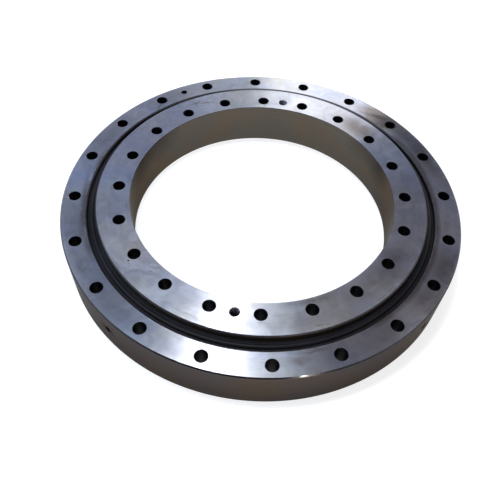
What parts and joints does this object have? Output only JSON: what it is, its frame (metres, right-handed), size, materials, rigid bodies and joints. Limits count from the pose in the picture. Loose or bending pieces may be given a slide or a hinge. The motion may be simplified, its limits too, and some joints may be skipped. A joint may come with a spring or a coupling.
{
  "type": "slewing ring bearing",
  "caption": "Flat slewing ring bearing without gear teeth: an inner ring turns in an outer ring on one row of balls, with plain bolt holes in both faces.",
  "frame": {"origin": "centre of the outer ring's bottom face, on the axis that the rings turn about", "axes": "+Z along the turning axis, from the outer ring's bottom face up to the raised face of the inner ring; +X and +Y lie in the bottom face"},
  "size_m": [0.602, 0.602, 0.08],
  "materials": {
    "ring_steel": "face-turned, bright, lightly oiled",
    "plug_steel": "turned, dull",
    "ball_steel": "ground and polished",
    "cage_steel": "cold-rolled strip, punched",
    "seal_rubber": "moulded black nitrile rubber, satin"
  },
  "bodies": {
    "outer": {"outer_ring": "ring_steel", "filler_plug": "plug_steel", "plug_taper_pin": "plug_steel", "upper_seal": "seal_rubber"},
    "inner": {"inner_ring": "ring_steel", "lower_seal": "seal_rubber"},
    "ball_set": {"ball_01": "ball_steel", "ball_02": "ball_steel", "ball_03": "ball_steel", "ball_04": "ball_steel", "ball_05": "ball_steel", "ball_06": "ball_steel", "ball_07": "ball_steel", "ball_08": "ball_steel", "ball_09": "ball_steel", "ball_10": "ball_steel", "ball_11": "ball_steel", "ball_12": "ball_steel", "ball_13": "ball_steel", "ball_14": "ball_steel", "ball_15": "ball_steel", "ball_16": "ball_steel", "ball_17": "ball_steel", "ball_18": "ball_steel", "ball_19": "ball_steel", "ball_20": "ball_steel", "ball_21": "ball_steel", "ball_22": "ball_steel", "ball_23": "ball_steel", "ball_24": "ball_steel", "ball_25": "ball_steel", "ball_26": "ball_steel", "ball_27": "ball_steel", "ball_28": "ball_steel", "ball_29": "ball_steel", "ball_30": "ball_steel", "ball_31": "ball_steel", "ball_32": "ball_steel", "ball_33": "ball_steel", "ball_34": "ball_steel", "ball_35": "ball_steel", "ball_36": "ball_steel", "cage_segment_1": "cage_steel", "cage_segment_2": "cage_steel", "cage_segment_3": "cage_steel", "cage_segment_4": "cage_steel"}
  },
  "joints": [
    {"name": "ring_turn", "type": "hinge", "parent": "outer", "child": "inner", "pos_m": [0, 0, 0.04], "axis": [0, 0, 1], "continuous": true},
    {"name": "ball_orbit", "type": "hinge", "parent": "outer", "child": "ball_set", "pos_m": [0, 0, 0.04], "axis": [0, 0, 1], "continuous": true}
  ],
  "couplings": [
    {"joint": "ball_orbit", "follows": "ring_turn", "ratio": 0.4788}
  ]
}
